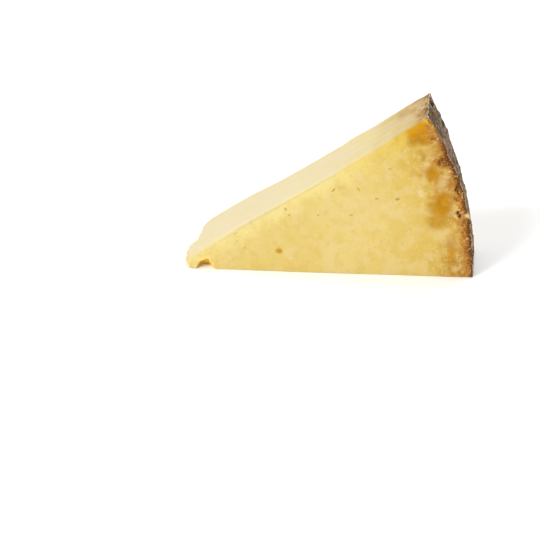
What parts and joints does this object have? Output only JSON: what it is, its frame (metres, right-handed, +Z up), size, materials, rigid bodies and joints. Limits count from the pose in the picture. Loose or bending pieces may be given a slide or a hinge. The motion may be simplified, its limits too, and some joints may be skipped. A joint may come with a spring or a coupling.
{
  "type": "cantal wedge",
  "caption": "Wedge of mature pressed cow's milk cheese with a broken blunt point, a sloping upper cut and a dry, stony natural rind at the wide end.",
  "frame": {"origin": "middle of the base's bounding box, on the surface the wedge rests on", "axes": "+X along the base from the broken point to the rind, +Y through the thickness of the slice, +Z up"},
  "size_m": [0.1816, 0.0394, 0.1072],
  "materials": {
    "cheese": "waxy cut cheese paste, pale cream to straw yellow, browning to amber and rust at a rough grey-brown rind"
  },
  "bodies": {
    "root": {"wedge": "cheese"}
  },
  "joints": []
}
